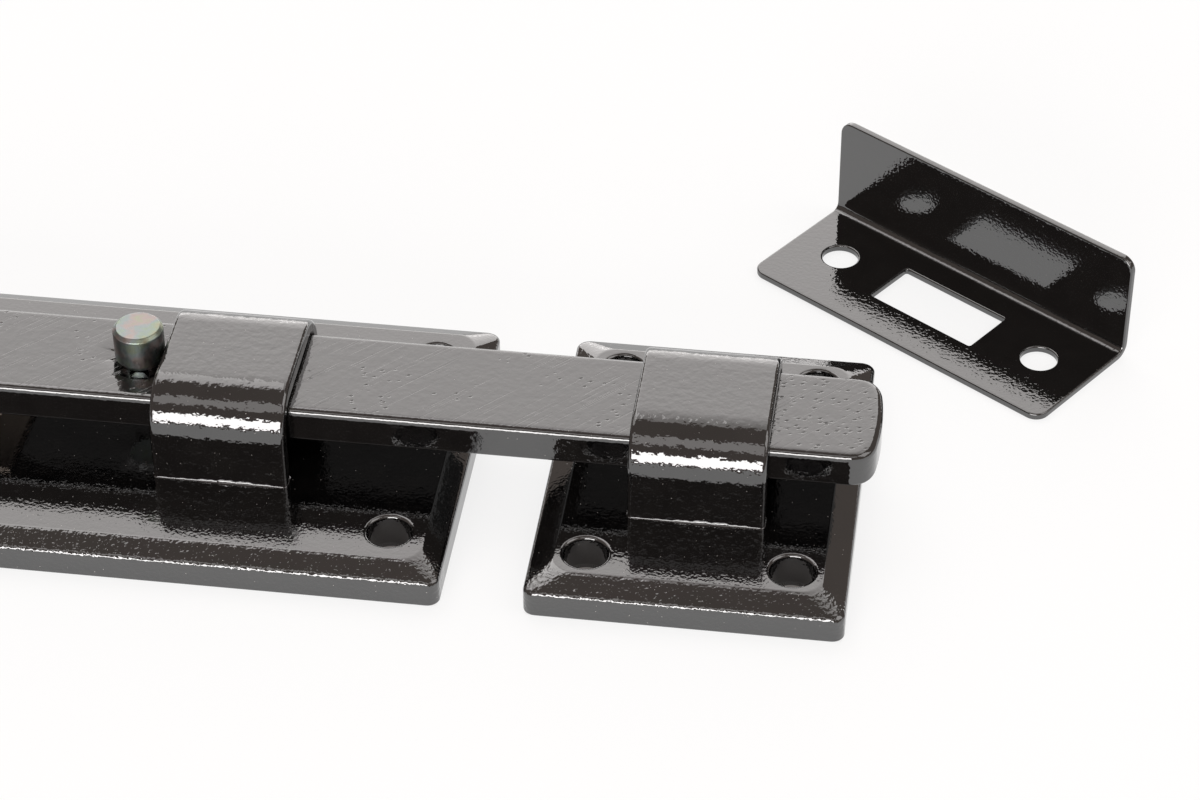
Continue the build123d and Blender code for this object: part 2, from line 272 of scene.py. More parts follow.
def light_panel(name, heading, elevation, distance, width, height, glow, fade=1.0):
    """A soft panel that faces the bolt. Heading 0 is straight in front, 180 straight behind.
    Its power is pi times its area, so that it looks `glow` bright in a mirror at its lower
    edge and `fade` times that at its upper edge."""
    lamp = bpy.data.lights.new(name, "AREA")
    lamp.shape = "RECTANGLE"
    lamp.size = width
    lamp.size_y = height
    lamp.energy = np.pi * width * height
    lamp.color = PANEL_TINT
    lamp.use_nodes = True
    tree = lamp.node_tree
    across = Socket(tree, tree.nodes.new("ShaderNodeNewGeometry").outputs["Parametric"])
    upwards = across.split()[1]
    strength = upwards * (glow * fade - glow) + glow
    tree.links.new(strength.output, tree.nodes["Emission"].inputs["Strength"])
    turn, rise = np.radians(heading), np.radians(elevation)
    towards = Vector((np.sin(turn) * np.cos(rise), -np.cos(turn) * np.cos(rise), np.sin(rise)))
    panel = bpy.data.objects.new(name, lamp)
    bpy.context.scene.collection.objects.link(panel)
    panel.location = PANEL_AIM + towards * distance
    panel.rotation_mode = "QUATERNION"
    panel.rotation_quaternion = (-towards).to_track_quat("-Z", "Y")
    print(name, "glow", glow, "to", round(glow * fade, 2))


for name, sizes in PANELS.items():
    light_panel(name, *sizes)

# %% [markdown]
# Every surface here is made the same way: numpy works out points on a grid, and a few
# helpers join the grids. A rounded outline is drawn at several insets and heights, flat
# faces with holes are filled by a constrained triangulation, and the parts are welded
# where they meet. The helper that makes the mesh also checks that it is closed.

# %% Outlines and profiles
FOUR_CORNERS = np.array([(-1, -1), (1, -1), (-1, 1), (1, 1)])
NO_POINTS = np.zeros((0, 2))


def rounded_rectangle(half_x, half_y, radius, corner=8, along_x=1, along_y=1):
    """Four quarter circles joined by straight sides that are cut into equal steps.
    Gives the points anticlockwise and their outward normals."""
    turns = np.linspace(0, np.pi / 2, corner + 1) + np.arange(4)[:, None] * np.pi / 2
    outward = np.stack([np.cos(turns), np.sin(turns)], -1)
    signs = np.array([[1, 1], [-1, 1], [-1, -1], [1, -1]])
    arcs = (signs * [half_x - radius, half_y - radius])[:, None] + radius * outward
    points, normals = [], []
    for side, steps in enumerate((along_x, along_y, along_x, along_y)):
        along = (np.arange(1, steps) / steps)[:, None]
        begin, end = arcs[side, -1], arcs[(side + 1) % 4, 0]
        points += [arcs[side], begin + (end - begin) * along]
        normals += [outward[side], np.repeat(outward[side, -1:], steps - 1, 0)]
    return np.concatenate(points), np.concatenate(normals)


def circle(radius, centre=(0, 0), steps=64):
    """Points round a circle, anticlockwise."""
    turn = np.arange(steps) * 2 * np.pi / steps
    return np.array(centre) + radius * np.stack([np.cos(turn), np.sin(turn)], -1)


def curved_corner(begin, corner, end, steps):
    """A quadratic curve from begin to end that leaves and arrives along the corner's two sides."""
    along = np.linspace(0, 1, steps + 1)[:, None]
    begin, corner, end = map(np.array, (begin, corner, end))
    return (1 - along) ** 2 * begin + 2 * along * (1 - along) * corner + along ** 2 * end


def softened(corners, reaches, steps=6):
    """A run of straight lines whose inner corners become quadratic curves, each of which
    starts and ends its reach away from the corner."""
    corners = np.array(corners, float)
    parts = [corners[:1]]
    for before, corner, after, reach in zip(corners, corners[1:], corners[2:], reaches):
        begin = corner + (before - corner) * reach / np.linalg.norm(before - corner)
        end = corner + (after - corner) * reach / np.linalg.norm(after - corner)
        parts.append(curved_corner(begin, corner, end, steps))
    return np.concatenate(parts + [corners[-1:]])


def at_height(outline, height):
    """Plan points lifted to a height, which is one number or one for each point."""
    return np.concatenate([outline, np.broadcast_to(height, len(outline))[:, None]], 1)


print("outlines: a square with round corners has", len(rounded_rectangle(1, 1, 0.2)[0]), "points")


# %% Patches of surface
def skin(grid):
    """Four-sided faces between neighbours on a grid of points whose columns close up.
    Anticlockwise rows that climb face outwards."""
    rows, columns = grid.shape[:2]
    index = np.arange(rows * columns).reshape(rows, columns)
    beside = np.roll(index, -1, 1)
    faces = np.stack([index[:-1], beside[:-1], beside[1:], index[1:]], -1).reshape(-1, 4)
    return grid.reshape(-1, 3), faces


def fill(outer, holes, inside, height, up=True):
    """Flat triangles within the outer loop and outside the holes, at a height.
    `inside` gives extra plan points that the triangles pass through."""
    loops = [outer, *holes]
    points = np.concatenate([*loops, inside])
    owner = np.full(len(points), -1)
    edges = []
    start = 0
    for number, loop in enumerate(loops):
        here = np.arange(start, start + len(loop))
        owner[here] = number
        edges.append(np.stack([here, np.roll(here, -1)], 1))
        start += len(loop)
    edges = np.concatenate(edges).tolist()
    found = delaunay_2d_cdt([Vector(point) for point in points], edges, [], 1, 1e-6)
    source = np.array([origin[0] for origin in found[3]])
    faces = source[np.array(found[2])]
    corner = points[faces]
    first, second = corner[:, 1] - corner[:, 0], corner[:, 2] - corner[:, 0]
    area = first[:, 0] * second[:, 1] - first[:, 1] * second[:, 0]
    faces[area < 0] = faces[area < 0][:, ::-1]
    owners = owner[faces]
    in_hole = (owners == owners[:, :1]).all(1) & (owners[:, 0] > 0)
    faces = faces[~in_hole & (np.abs(area) > 1e-6)]
    return at_height(points, float(height)), faces if up else faces[:, ::-1]


def lattice(half_x, half_y, step, centre=(0, 0)):
    """Plan points on a square lattice."""
    across = np.linspace(-half_x, half_x, max(2, int(round(2 * half_x / step)) + 1))
    along = np.linspace(-half_y, half_y, max(2, int(round(2 * half_y / step)) + 1))
    return np.stack(np.meshgrid(across, along), -1).reshape(-1, 2) + centre


def clear_of(points, centres, radius):
    """The points that are further than the radius from every centre."""
    gaps = np.linalg.norm(points[:, None] - np.reshape(centres, (1, -1, 2)), axis=2)
    return points[(gaps > radius).all(1)]


def moved(patches, x):
    """The patches carried along X."""
    return [(points + (x, 0, 0), faces) for points, faces in patches]


print("patches: a lattice of 3 by 3 has", len(lattice(1, 1, 1)), "points")


# %% Meshes
def make_piece(name, patches, material, body, slot, *nodes):
    """Welds the patches into one mesh. Each point's normal is the sum of its faces' normals,
    weighted by area, so that flats stay flat and only the soft edges turn the light."""
    points = np.concatenate([points for points, faces in patches])
    starts = np.cumsum([0] + [len(points) for points, faces in patches])
    key = np.round(points * 1e4).astype(np.int64)
    unused, first, weld = np.unique(key, axis=0, return_index=True, return_inverse=True)
    points = points[first]
    polygons = [weld.reshape(-1)[faces + start] for (unused, faces), start in zip(patches, starts)]
    normals = np.zeros_like(points)
    volume = 0.0
    for faces in polygons:
        corner = points[faces]
        turned = np.cross(corner[:, 2] - corner[:, 0], corner[:, -1] - corner[:, 1])
        np.add.at(normals, faces.ravel(), np.repeat(turned, faces.shape[1], 0))
        volume += (turned * corner.mean(1)).sum() / 6
    edges = [np.stack([faces, np.roll(faces, -1, 1)], -1).reshape(-1, 2) for faces in polygons]
    edges = np.concatenate(edges)
    there = np.sort(edges[:, 0] * len(points) + edges[:, 1])
    back = np.sort(edges[:, 1] * len(points) + edges[:, 0])
    closed = np.array_equal(there, back) and len(np.unique(there)) == len(there)
    normals /= np.maximum(np.linalg.norm(normals, axis=1, keepdims=True), 1e-12)
    mesh = bpy.data.meshes.new(name)
    mesh.from_pydata((points * MM).tolist(), [], [face for faces in polygons for face in faces.tolist()])
    mesh.shade_smooth()
    mesh.normals_split_custom_set_from_vertices(normals.tolist())
    mesh.materials.append(material)
    piece = bpy.data.objects.new(name, mesh)
    bpy.context.scene.collection.objects.link(piece)
    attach(piece, body)
    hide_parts(*nodes)
    triangles = sum(len(faces) * (faces.shape[1] - 2) for faces in polygons)
    print(name, triangles, "triangles, closed", closed, round(volume / 1000, 2), "cm3")


def solid_size(node):
    """A solid's lowest and highest corner, in millimetres."""
    return np.array([list(corner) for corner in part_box(node)]) / MM


plate_low, plate_high = solid_size("main_plate")
staple_low, staple_high = solid_size("staple_plate")
loop_low, loop_high = solid_size("front_loop")
bar_low, bar_high = solid_size("slide_bar")
pin_low, pin_high = solid_size("stop_pin")
knob_low, knob_high = solid_size("pull_knob")
plate_length, plate_depth, field = plate_high - plate_low
staple_x = (staple_low[0] + staple_high[0]) / 2
pin_x = (pin_low[0] + pin_high[0]) / 2
knob_x = (knob_low[0] + knob_high[0]) / 2
front_loop_x, rear_loop_x = (solid_size(node)[:, 0].mean() for node in ("front_loop", "rear_loop"))
spring_x = solid_size("spring_rivet")[:, 0].mean()
print("field at", round(field, 2), "bar from", round(bar_low[2], 2), "to", round(bar_high[2], 2), "mm")

# %% [markdown]
# The finish is a thick black powder coat: almost black underneath, with a hard gloss that
# ripples like orange peel. The castings' grain shows through it on the bevels, and the
# bar's top has small dents and fine scratches. One function makes all the variants, because
# they differ only in how strong each of these is; the heights are in millimetres.

# %% Black coat
PEEL_WAVES, SWELL_WAVES, GRAIN_WAVES = 2200, 900, 2100
CLOUD_WAVES, CLUSTER_WAVES, DUST_CELLS = 300, 130, 1700
GRAIN_BEGINS, GRAIN_ENDS, GRAIN_SIDES = 2.5, 5.5, 0.15
DENT_TURN, DENT_CELLS = 0.4, (760, 1750)
DENT_RIM, DENT_DULL = (0.06, 0.37), 0.6
TIP_BEGINS, TIP_ENDS = 20.8, 11.8
CLUSTER_PULL, TIP_PULL = 0.5, 0.8
SCRATCH_TURN, SCRATCH_WAVES, SCRATCH_DEPTH = 0.8, (70, 5200), 0.011
DEEP_BLACK, SOFT_BLACK = (0.0015, 0.0014, 0.0016, 1), (0.0035, 0.0032, 0.0032, 1)
DUST_TINT, DUST_SIZE, DUST_DULL = (0.4, 0.38, 0.36, 1), (0.03, 0.13), 0.5
CLOUD_DULL = 0.03


def black_coat(name, peel, swell, gloss, shine, dust, grain=0.0, dents=0.0):
    """Gloss black over metal. Height = orange peel + slow swell + casting grain on the bevels,
    most of it along the front - dents and scratches on the bar's top. The dents lie slantwise,
    keep to clusters and crowd towards the bar's tip."""
    material, shader, place = start_finish(name)
    east, north, up = place.split()
    height = place.noise(PEEL_WAVES) * peel + place.noise(SWELL_WAVES) * swell
    roughness = gloss
    if grain:
        begins, ends = plate_low[1] + GRAIN_BEGINS, plate_low[1] + GRAIN_ENDS
        front = 1 + GRAIN_SIDES - north.rises(begins * MM, ends * MM)
        bevels = 1 - up.rises((field - 0.2) * MM, (field - 0.02) * MM)
        height = height + place.noise(GRAIN_WAVES) * front * bevels * grain
    if dents:
        top = up.rises((bar_high[2] - 0.1) * MM, (bar_high[2] - 0.02) * MM)
        tip = east.rises((bar_high[0] - TIP_BEGINS) * MM, (bar_high[0] - TIP_ENDS) * MM)
        cluster = place.noise(CLUSTER_WAVES).rises(0.48, 0.66)
        nearest, luck = place.leaning(DENT_TURN, *DENT_CELLS).cells(1.0)
        crowd = (luck + cluster * CLUSTER_PULL + tip * TIP_PULL).rises(0.97, 1.03)
        dent = (1 - nearest.rises(*DENT_RIM)) * crowd * top
        scratch = place.leaning(SCRATCH_TURN, *SCRATCH_WAVES).noise(1.0).rises(0.61, 0.72) * top
        height = height - dent * dents - scratch * SCRATCH_DEPTH
        roughness = roughness + dent * DENT_DULL
    cloud = place.noise(CLOUD_WAVES, 4.0)
    motes, lucky = place.cells(DUST_CELLS)
    specks = (1 - motes.rises(*DUST_SIZE)) * lucky.rises(1 - dust, 1.05 - dust)
    tint = specks.blend(cloud.rises(0.3, 0.7).blend(DEEP_BLACK, SOFT_BLACK), DUST_TINT)
    roughness = cloud * CLOUD_DULL + specks * DUST_DULL + roughness
    set_shader(shader, Base_Color=tint, Roughness=roughness, Normal=place.bump(height), IOR=shine)
    return material


plate_coat = black_coat("plate_coat", peel=0.019, swell=0.012, gloss=0.02, shine=2.15, dust=0.25, grain=0.08)
loop_coat = black_coat("loop_coat", peel=0.025, swell=0.055, gloss=0.04, shine=2.05, dust=0.2)
bar_coat = black_coat("bar_coat", peel=0.014, swell=0.035, gloss=0.02, shine=2.05, dust=0.08, dents=0.05)
sheet_coat = black_coat("sheet_coat", peel=0.021, swell=0.01, gloss=0.01, shine=2.1, dust=0.03)
print("coats", [coat.name for coat in (plate_coat, loop_coat, bar_coat, sheet_coat)])

# %% [markdown]
# The two plates are castings with an upright wall, a shallow bevel and a raised field. Their
# outline is drawn in ring by ring while it climbs, and the holes are filled round. The strap
# loops are riveted through slots in the plates, so the slots are cut here too.

# %% Plates
WALL = 3.6
BACK_EDGE, WALL_EDGE = 0.25, 0.55
BACK_RUN, BEVEL_RUN = 0.6, 0.9
CORNER, FIELD_CORNER, CREST = 1.5, 2.6, 0.3
MAIN_BEVEL, STAPLE_BEVEL = 2.8, 3.2
MAIN_INSETS, STAPLE_INSETS = np.array([7.4, 7.8]), np.array([7.1, 7.0])
SCREW_HOLE, SCREW_RIM, BORE_RING = 2.8, 0.5, 0.8
SLOT_HALF, SLOT_CORNER = np.array([5.04, 1.29]), 0.2
SLOT_FLARE, SLOT_GUARD = 1.0, 0.12
LEG_MIDDLE = 10.05
SPRING_HOLE, SPRING_FLARE = 1.53, 0.8
LATTICE_STEP, FIELD_MARGIN, HOLE_MARGIN, SLOT_MARGIN = 3.0, 1.5, 1.0, 0.8


def cast_plate(length, bevel, insets, slot_places, rivet_places=()):
    """A plate centred on the origin. Its outline is drawn in again and again while it climbs the
    wall, a straight bevel and a crest, across which the slope fades away to the flat field."""
    slope = (field - WALL) / bevel
    half = np.array([length, plate_depth]) / 2
    edge = bevel + CREST / 2

    def outline(inset):
        """The plate's outline drawn in by an inset; its corners grow rounder towards the field."""
        rounding = CORNER + (FIELD_CORNER - CORNER) * inset / edge
        return rounded_rectangle(*(half - inset), rounding, 10, 60, 30)[0]

    def bored(place, profile, steps):
        """Rings round a bore: the profile's points are (radius, height), from the top down."""
        return np.stack([at_height(circle(radius, place, steps), height) for radius, height in profile])

    wall = softened([(BACK_RUN, 0), (0, 0), (0, WALL), (BEVEL_RUN, WALL + slope * BEVEL_RUN)],
                    (BACK_EDGE, WALL_EDGE), 8)
    left = np.linspace(CREST, 0, 13)
    easing = np.stack([edge - left, field - slope * left ** 2 / (2 * CREST)], 1)
    climb = np.concatenate([wall, easing])
    rings = np.stack([at_height(outline(inset), height) for inset, height in climb])

    turn = np.linspace(0, np.pi / 2, 10)
    rim = np.stack([SCREW_HOLE + SCREW_RIM * (1 - np.sin(turn)), field - SCREW_RIM * (1 - np.cos(turn))], 1)
    screw_bore = [*rim, (SCREW_HOLE, BORE_RING), (SCREW_HOLE, 0)]
    rivet_bore = [(SPRING_HOLE, field), (SPRING_HOLE, SPRING_FLARE), (SPRING_HOLE + SPRING_FLARE, 0)]
    screws = FOUR_CORNERS * (half - insets)
    slots = [(x, side * LEG_MIDDLE) for x in slot_places for side in (-1, 1)]
    slot, wide, guard = (rounded_rectangle(*(SLOT_HALF + more), SLOT_CORNER, 3, 40, 10)[0]
                         for more in (0, SLOT_FLARE, SLOT_GUARD))
    bores = [bored(screw, screw_bore, 64) for screw in screws]
    bores += [np.stack([at_height(slot + place, field), at_height(slot + place, SLOT_FLARE),
                        at_height(wide + place, 0)]) for place in slots]
    bores += [bored(rivet, rivet_bore, 32) for rivet in rivet_places]

    inside = lattice(*(half - edge - FIELD_MARGIN), LATTICE_STEP)
    inside = clear_of(inside, screws, SCREW_HOLE + SCREW_RIM + HOLE_MARGIN)
    inside = clear_of(inside, rivet_places, SPRING_HOLE + HOLE_MARGIN)
    for place in slots:
        inside = inside[(np.abs(inside - place) > SLOT_HALF + SLOT_MARGIN).any(1)]
    inside = np.concatenate([inside] + [guard + place for place in slots])
    tops, backs = ([ring[row][:, :2] for ring in bores] for row in (0, -1))
    patches = [skin(rings)] + [skin(ring) for ring in bores]
    patches.append(fill(rings[-1][:, :2], tops, inside, field))
    patches.append(fill(rings[0][:, :2], backs, NO_POINTS, 0, up=False))
    return patches


main_patches = cast_plate(plate_length, MAIN_BEVEL, MAIN_INSETS, (rear_loop_x, front_loop_x), [(spring_x, 0)])
make_piece("main_plate_coated", main_patches, plate_coat, "plates", "black_coat", "main_plate")
staple_patches = cast_plate(staple_high[0] - staple_low[0], STAPLE_BEVEL, STAPLE_INSETS, (0,))
make_piece("staple_plate_coated", moved(staple_patches, staple_x), plate_coat, "plates", "black_coat",
           "staple_plate")

# %% [markdown]
# Each loop is a flat strap bent over the bar. Its rounded section is carried along the bend,
# stretched between an inner and an outer curve, because the outside of the bend has a much
# larger radius than the inside. At its foot the coat ran together into a small hollow fillet
# of uneven size, and the tenons below go through the plate and are riveted over at the back.

# %% Strap loops
STRAP, STRAP_EDGE = 2.5, 0.65
SHOULDER, INNER_BEND = 6.3, 2.0
FOOT_FILLET, LEAST_FILLET = 0.9, 0.15
RUN_LEAST, RUN_MORE, RUN_MIDDLE, RUN_SPREAD = 0.17, 0.36, 1.5, 4.0
RUN_RIPPLES = ((0.22, 2.3, 0.0), (0.16, 5.1, 1.0))
TENON_HALF, TENON_CORNER = np.array([5.0, 1.25]), 0.2
TENON_RECESS = 0.15
quarter = np.linspace(0, np.pi / 2, 9)
fillet = np.stack([1 - np.sin(quarter), 1 - np.cos(quarter)], 1)


def over_the_bar(half, top, bend, foot):
    """The bend in the YZ plane: up a leg, round a quarter circle, across, and down again."""
    straight = np.linspace(foot + FOOT_FILLET, top - bend, 10)[1:]
    climb = np.concatenate([foot + FOOT_FILLET * fillet[:, 1], straight])
    turn = np.linspace(0, np.pi / 2, 25)
    leg = np.stack([np.full(len(climb), -half), climb], 1)
    shoulder = np.stack([bend - half - bend * np.cos(turn), top - bend + bend * np.sin(turn)], 1)[1:]
    across = np.stack([np.linspace(bend - half, 0, 6), np.full(6, top)], 1)[1:]
    first = np.concatenate([leg, shoulder, across])
    return np.concatenate([first, (first * [-1, 1])[-2::-1]])


def strap_loop(half_width, inner_half, inner_top, foot):
    """Point = inner curve + share of the way to the outer curve, moved across by the section;
    at the foot the section spreads by a hollow fillet, where the coat ran together and set."""
    inner = over_the_bar(inner_half, inner_top, INNER_BEND, foot)
    outer = over_the_bar(inner_half + STRAP, inner_top + STRAP, SHOULDER, foot)
    section, outward = rounded_rectangle(half_width, STRAP / 2, STRAP_EDGE, 6, 48, 2)
    across = section[:, 0]
    run = RUN_LEAST + RUN_MORE * np.exp(-((across - RUN_MIDDLE) / RUN_SPREAD) ** 2)
    run = run * (1 + sum(depth * np.sin(rate * across + shift) for depth, rate, shift in RUN_RIPPLES))
    spread = LEAST_FILLET + np.maximum(outward[:, 1], 0) ** 2 * (run - LEAST_FILLET)
    swell, squeeze = np.zeros((len(outer), 1)), np.ones((len(outer), len(section)))
    swell[:len(fillet), 0] = fillet[:, 0]
    squeeze[:len(fillet)] = spread / FOOT_FILLET
    swell, squeeze = np.maximum(swell, swell[::-1]), np.minimum(squeeze, squeeze[::-1])
    section = section + outward * (swell * spread)[..., None]
    share = section[..., 1] / STRAP + 0.5
    rows = inner[:, None] + (outer - inner)[:, None] * share[..., None]
    rows[..., 1] = foot + (rows[..., 1] - foot) * squeeze
    grid = np.concatenate([section[..., :1], rows], 2)
    patches = [skin(grid[:, ::-1])]
    for side, end in ((-1, grid[0]), (1, grid[-1])):
        tenon, tail = (rounded_rectangle(*(TENON_HALF + more), TENON_CORNER, 3)[0] + (0, side * LEG_MIDDLE)
                       for more in (0, SLOT_FLARE - TENON_RECESS))
        shank = [at_height(tail, TENON_RECESS), at_height(tenon, SLOT_FLARE), at_height(tenon, foot)]
        patches.append(fill(end[:, :2], [tenon], NO_POINTS, foot, up=False))
        patches.append(skin(np.stack(shank)))
        patches.append(fill(tail, [], NO_POINTS, TENON_RECESS, up=False))
    return patches


strap_half_width = (loop_high[0] - loop_low[0]) / 2
opening_half = LEG_MIDDLE - STRAP / 2
opening_top = loop_high[2] - STRAP
print("opening", opening_half, round(opening_top, 2))
for node, x in (("front_loop", front_loop_x), ("rear_loop", rear_loop_x), ("staple_loop", staple_x)):
    make_piece(node + "_coated", moved(strap_loop(strap_half_width, opening_half, opening_top, field), x),
               loop_coat, "plates", "black_coat", node)

# %% [markdown]
# The bar is flat, with a rounded upper edge and a nose that bulges a little. Its outline is
# drawn in plan, and the edge's profile is carried round it along the outline's normals, half
# as wide again at the nose.

# %% Bar
BAR_EDGE, BAR_BACK_EDGE, NOSE_WIDER = 1.0, 0.45, 0.5
BAR_TOP_RUN, BAR_BACK_RUN = 1.2, 0.8
NOSE_CORNER, NOSE_BULGE, TAIL_CORNER = 3.0, 0.9, 2.0
PIN_HOLE, PIN_MOUTH, KNOB_HOLE, MOUTH_DEPTH = 1.93, 2.93, 2.43, 1.0
BAR_MARGIN, BAR_HOLE_MARGIN = 3.0, 4.0


def bar_outline(tail, tip, half):
    """Anticlockwise from the tail's lower corner: a straight side, a quadratic corner, a nose that
    is a parabola, a corner, the other side and the two tail corners."""
    shoulder = tip - NOSE_BULGE
    reach = half - NOSE_CORNER
    nose_y = np.linspace(-reach, reach, 21)[1:-1]
    nose = np.stack([tip - NOSE_BULGE * (nose_y / half) ** 2, nose_y], 1)
    nose_start = (tip - NOSE_BULGE * (reach / half) ** 2, -reach)
    low_nose = curved_corner((shoulder - NOSE_CORNER, -half), (shoulder, -half), nose_start, 12)
    low_tail = curved_corner((tail, TAIL_CORNER - half), (tail, -half), (tail + TAIL_CORNER, -half), 12)
    side_x = np.linspace(tail + TAIL_CORNER, shoulder - NOSE_CORNER, 80)[1:-1]
    low_side = np.stack([side_x, np.full(len(side_x), -half)], 1)
    high_nose, high_side, high_tail = ((low * [1, -1])[::-1] for low in (low_nose, low_side, low_tail))
    end_y = np.linspace(half - TAIL_CORNER, TAIL_CORNER - half, 8)[1:-1]
    end = np.stack([np.full(len(end_y), tail), end_y], 1)
    return np.concatenate([low_tail, low_side, low_nose, nose, high_nose, high_side, high_tail, end])


def slide_bar(low, high):
    """Rings of the outline, moved in along its normals by the edge profile's insets."""
    outline = bar_outline(low[0], high[0], high[1])
    forward = np.roll(outline, -1, 0) - np.roll(outline, 1, 0)
    outward = np.stack([forward[:, 1], -forward[:, 0]], 1) / np.linalg.norm(forward, axis=1, keepdims=True)
    profile = softened([(BAR_BACK_RUN, low[2]), (0, low[2]), (0, high[2]), (BAR_TOP_RUN, high[2])],
                       (BAR_BACK_EDGE, BAR_EDGE), 10)
    wider = 1 + NOSE_WIDER * np.maximum(outward[:, :1], 0) ** 2
    rings = np.stack([at_height(outline - outward * inset * wider, height) for inset, height in profile])
    places = [(pin_x, 0), (knob_x, 0)]
    holes = [circle(radius, place, 32) for radius, place in zip((PIN_HOLE, KNOB_HOLE), places)]
    mouths = [circle(PIN_MOUTH, places[0], 32), holes[1]]
    inside = lattice(*((high[:2] - low[:2]) / 2 - BAR_MARGIN), LATTICE_STEP, (low[:2] + high[:2]) / 2)
    inside = clear_of(inside, places, BAR_HOLE_MARGIN)
    patches = [skin(rings)]
    patches.append(fill(rings[-1][:, :2], holes, inside, high[2]))
    patches.append(fill(rings[0][:, :2], mouths, inside, low[2], up=False))
    for hole, mouth in zip(holes, mouths):
        bore = [at_height(hole, high[2]), at_height(hole, low[2] + MOUTH_DEPTH), at_height(mouth, low[2])]
        patches.append(skin(np.stack(bore)))
    return patches


make_piece("slide_bar_coated", slide_bar(bar_low, bar_high), bar_coat, "bolt", "black_coat", "slide_bar")

# %% [markdown]
# The stop pin and the knob are turned on a lathe, so each is a profile carried round an
# upright axis. The pin is zinc plated, and the plating's thin passive film shows pale
# greens, yellows and pinks.

# %% Turned pieces
PIN_SHANK, PIN_FOOT, PIN_FOOT_HEIGHT, PIN_END = 1.9, 2.75, 0.85, 1.4
PIN_NECK, PIN_NECK_HEIGHT, PIN_HEAD, PIN_CHAMFER, PIN_FACE = 2.8, 0.7, 3.25, 0.45, 0.4
KNOB_END, KNOB_SHANK, KNOB_FOOT, KNOB_FOOT_GAP = 1.8, 2.4, 3.6, 0.02
KNOB_COLLAR, KNOB_COLLAR_HEIGHT, KNOB_STEM = 5.6, 1.6, 3.6
KNOB_UNDER, KNOB_UNDER_HEIGHT, KNOB_BALL, KNOB_DOME = 6.5, 2.0, 8.5, 7.0
RING_WAVES = 26000
FILM = [(0.30, (0.27, 0.25, 0.17, 1)), (0.42, (0.22, 0.26, 0.21, 1)), (0.50, (0.22, 0.25, 0.25, 1)),
        (0.60, (0.28, 0.235, 0.225, 1)), (0.70, (0.25, 0.26, 0.20, 1))]


def turned(profile, x, steps=96):
    """The profile's points (radius, height), from the bottom up, carried round the axis at x.
    Both ends are closed by a fan of triangles."""
    grid = np.stack([at_height(circle(radius, (x, 0), steps), height) for radius, height in profile])
    rim = np.arange(steps)
    fan = np.stack([rim, np.roll(rim, -1), np.full(steps, steps)], 1)
    fans = []
    for row, facing in ((grid[0], -1), (grid[-1], 1)):
        points = np.concatenate([row, [[x, 0, row[0, 2]]]])
        fans.append((points, fan[:, ::facing]))
    return [skin(grid), *fans]


def plated_zinc():
    """Bright metal whose tint wanders between yellow, green and pink, with rings from the lathe on
    its end face and a rubbed, duller side."""
    material, shader, place = start_finish("plated_zinc")
    centre = place.node("ShaderNodeMapping", inputs={"Vector": place, "Location": (-pin_x * MM, 0, 0)})
    east, north, unused = centre.split()
    squares = east * east + north * north
    angle = squares.math("SQRT", squares, 0) * RING_WAVES
    rings = angle.math("SINE", angle, 0)
    film = place.node("ShaderNodeValToRGB", {"stops": FILM}, {0: place.noise(380, 3.0)})
    scuffs = place.noise(2200, 2.0)
    set_shader(shader, Base_Color=film, Metallic=1.0, Roughness=scuffs * 0.3 + 0.2,
               Normal=place.bump(rings * 0.002 + scuffs * 0.006))
    return material


head, seat = pin_high[2], bar_high[2]
pin_corners = [
    (PIN_END, pin_low[2]), (PIN_FOOT, pin_low[2]), (PIN_SHANK, pin_low[2] + PIN_FOOT_HEIGHT),
    (PIN_SHANK, seat), (PIN_NECK, seat), (PIN_NECK, seat + PIN_NECK_HEIGHT),
    (PIN_HEAD, seat + PIN_NECK_HEIGHT), (PIN_HEAD, head - PIN_CHAMFER),
    (PIN_HEAD - PIN_CHAMFER, head), (PIN_FACE, head)]
pin_profile = softened(pin_corners, (0.1, 0.04, 0.04, 0.04, 0.06, 0.06, 0.12, 0.12), 4)
make_piece("stop_pin_plated", turned(pin_profile, pin_x), plated_zinc(), "bolt", "plated_pin", "stop_pin")

brim = knob_high[2] - KNOB_DOME
under = brim - KNOB_UNDER_HEIGHT
dome_turn = np.linspace(0, np.pi / 2, 24)[1:-1]
dome = np.stack([KNOB_BALL * np.cos(dome_turn), brim + KNOB_DOME * np.sin(dome_turn)], 1)
knob_corners = [
    (KNOB_END, knob_low[2]), (KNOB_SHANK, knob_low[2]), (KNOB_FOOT, bar_low[2] - KNOB_FOOT_GAP),
    (KNOB_SHANK, bar_low[2]), (KNOB_SHANK, seat), (KNOB_COLLAR, seat),
    (KNOB_COLLAR, seat + KNOB_COLLAR_HEIGHT), (KNOB_STEM, seat + KNOB_COLLAR_HEIGHT),
    (KNOB_STEM, under), (KNOB_UNDER, under), (KNOB_BALL, brim), dome[0]]
knob_edges = softened(knob_corners, (0.2, 0.15, 0.02, 0.05, 0.05, 0.3, 0.4, 0.9, 0.5, 0.25), 6)
knob_profile = np.concatenate([knob_edges, dome[1:]])
make_piece("pull_knob_coated", turned(knob_profile, knob_x), loop_coat, "bolt", "black_coat", "pull_knob")

# %% [markdown]
# The angle plate is sheet metal, folded once. The easiest way to make it is the maker's own:
# cut the flat sheet with its slot and holes, round its edges, and then bend it. Bending is a
# change of coordinates, so the whole flat mesh goes through one function.

